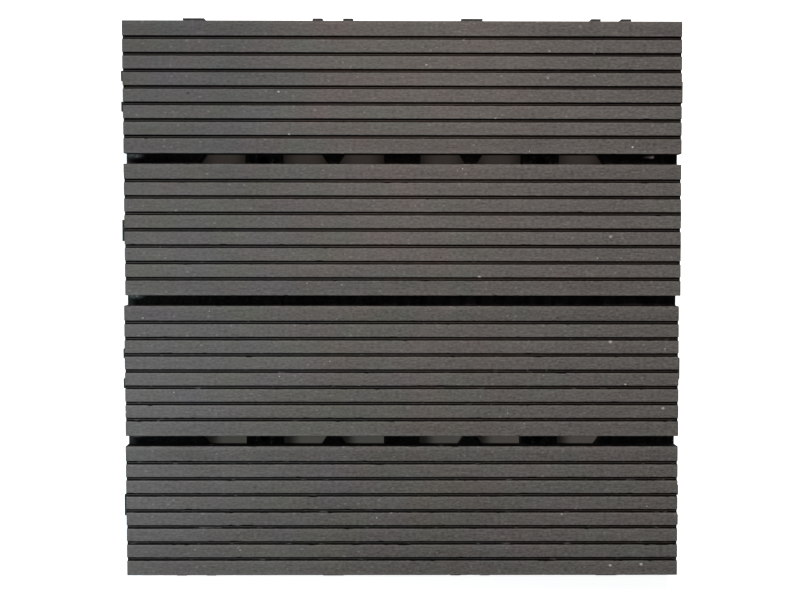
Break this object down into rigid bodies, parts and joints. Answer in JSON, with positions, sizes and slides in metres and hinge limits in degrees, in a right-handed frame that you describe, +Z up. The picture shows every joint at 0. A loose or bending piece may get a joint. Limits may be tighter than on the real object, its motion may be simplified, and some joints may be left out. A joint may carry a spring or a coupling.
{
  "type": "interlocking deck tile",
  "caption": "Square interlocking decking tile: grooved dark grey composite slats screwed onto a black moulded grid with keyed edges.",
  "frame": {"origin": "middle of the tile on the ground", "axes": "+X along the slats, +Y across them towards the back of the picture, +Z up"},
  "size_m": [0.3054, 0.3054, 0.022],
  "materials": {
    "slat_composite": "extruded wood-plastic composite, brushed along its length, with pale and dark flecks",
    "grid_plastic": "moulded black polypropylene, satin",
    "screw_steel": "bright stainless steel"
  },
  "bodies": {
    "root": {"slat_back": "slat_composite", "slat_mid_back": "slat_composite", "slat_mid_front": "slat_composite", "slat_front": "slat_composite", "base_grid": "grid_plastic", "screws": "screw_steel"}
  },
  "joints": []
}
